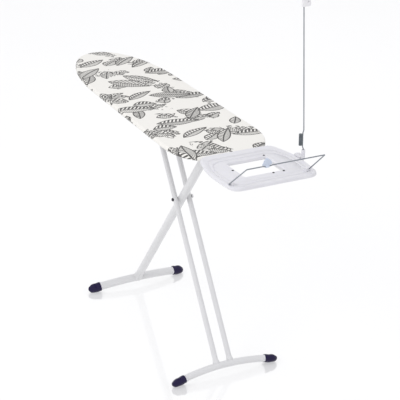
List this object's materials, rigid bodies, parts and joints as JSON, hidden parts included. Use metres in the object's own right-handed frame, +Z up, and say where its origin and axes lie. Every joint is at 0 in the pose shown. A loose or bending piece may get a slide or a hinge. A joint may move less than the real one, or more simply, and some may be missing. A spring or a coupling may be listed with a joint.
{
  "type": "ironing board",
  "caption": "Folding ironing board on a scissor stand of tubular legs, with a padded print cover, a moulded iron rest with a wire bail, and a sprung mast that holds the cord.",
  "frame": {"origin": "on the floor, in the middle of the overall length and width", "axes": "+X along the board from its nose to the iron rest, +Y towards the cord mast, +Z up"},
  "size_m": [1.6758, 0.4418, 1.4643],
  "materials": {
    "cover_fabric": "woven cotton with a printed leaf pattern",
    "felt": "needle felt",
    "galvanised": "galvanised sheet steel",
    "zinc_plated": "bright zinc plated",
    "frame_powder_coat": "satin white powder coat",
    "tray_plastic": "satin moulded plastic",
    "black_plastic": "moulded nylon",
    "foot_rubber": "smooth dark navy moulding",
    "bolt_cap": "dark coated bolt",
    "grey_wire": "drawn grey steel wire",
    "dark_wire": "oiled spring wire",
    "latch_plastic": "pale blue-grey moulding",
    "clip_plastic": "pale grey moulding"
  },
  "bodies": {
    "board": {"cover": "cover_fabric", "felt_pad": "felt", "deck_sheet": "galvanised", "deck_rim": "galvanised", "cover_drawcord": "cover_fabric", "crossbar_front": "galvanised", "crossbar_mid": "galvanised", "crossbar_rear": "galvanised", "crossbar_tail": "galvanised", "rail_left": "galvanised", "rail_right": "galvanised", "rail_hangers": "galvanised", "height_rack": "galvanised", "leg_bracket": "galvanised", "leg_pivot_pin": "zinc_plated", "tray_arm_left": "frame_powder_coat", "tray_arm_right": "frame_powder_coat", "arm_spacers": "black_plastic", "arm_screws": "zinc_plated", "iron_rest_tray": "tray_plastic", "tray_screws": "zinc_plated", "heat_studs": "black_plastic", "mast_clamp": "tray_plastic"},
    "main_leg": {"main_leg_lug": "black_plastic", "main_leg_tube": "frame_powder_coat", "main_foot_bar": "frame_powder_coat", "main_cap_left": "foot_rubber", "main_cap_right": "foot_rubber", "pivot_bush": "galvanised"},
    "twin_leg": {"twin_tube_left": "frame_powder_coat", "twin_tube_right": "frame_powder_coat", "twin_foot_bar": "frame_powder_coat", "twin_cap_left": "foot_rubber", "twin_cap_right": "foot_rubber", "cross_bolt": "bolt_cap", "cross_nut": "frame_powder_coat", "pivot_washers": "clip_plastic", "slider_pins": "zinc_plated"},
    "slider": {"slider_bridge": "galvanised", "slider_shoe_left": "black_plastic", "slider_shoe_right": "black_plastic", "lever_pin": "zinc_plated", "lever_spring": "zinc_plated"},
    "height_lever": {"height_lever": "frame_powder_coat", "lever_grip": "black_plastic"},
    "bail": {"bail_wire": "grey_wire", "bail_plugs": "grey_wire"},
    "bail_latch": {"bail_latch": "latch_plastic"},
    "mast_foot": {"mast_stub": "grey_wire", "mast_spring": "dark_wire"},
    "mast": {"mast_wire": "grey_wire", "cord_clip": "clip_plastic"}
  },
  "joints": [
    {"name": "leg_fold", "type": "hinge", "parent": "board", "child": "main_leg", "pos_m": [0.28114, 0, 0.865], "axis": [0, 1, 0], "range_deg": [-3.5, 50.21]},
    {"name": "cross_pivot", "type": "hinge", "parent": "main_leg", "child": "twin_leg", "pos_m": [0.0455, 0, 0.57906], "axis": [0, 1, 0], "range_deg": [-106.65, 7.44]},
    {"name": "slider_tilt", "type": "hinge", "parent": "twin_leg", "child": "slider", "pos_m": [-0.14186, 0, 0.865], "axis": [0, 1, 0], "range_deg": [-3.94, 56.44]},
    {"name": "lever_squeeze", "type": "hinge", "parent": "slider", "child": "height_lever", "pos_m": [-0.14986, 0.052, 0.882], "axis": [0, 0, 1], "range_deg": [0, 14], "stiffness_Nm_per_rad": 1.2, "springref_deg": -2.86},
    {"name": "bail_swing", "type": "hinge", "parent": "board", "child": "bail", "pos_m": [0.73014, -0.0085, 0.926], "axis": [0, 1, 0], "range_deg": [-130, 0]},
    {"name": "latch_turn", "type": "hinge", "parent": "bail", "child": "bail_latch", "pos_m": [0.83126, -0.075, 1.01085], "axis": [0, 1, 0], "range_deg": [-10, 20]},
    {"name": "mast_swivel", "type": "hinge", "parent": "board", "child": "mast_foot", "pos_m": [0.61314, 0.187, 0.93], "axis": [0, 0, 1], "range_deg": [-180, 180]},
    {"name": "mast_flex", "type": "hinge", "parent": "mast_foot", "child": "mast", "pos_m": [0.60714, 0.18, 0.9801], "axis": [0, 1, 0], "range_deg": [-30, 30], "stiffness_Nm_per_rad": 3, "deforming": ["mast_spring"]}
  ],
  "couplings": [
    {"joint": "cross_pivot", "follows": "leg_fold", "ratio": -2.1239},
    {"joint": "slider_tilt", "follows": "leg_fold", "ratio": 1.1239}
  ]
}
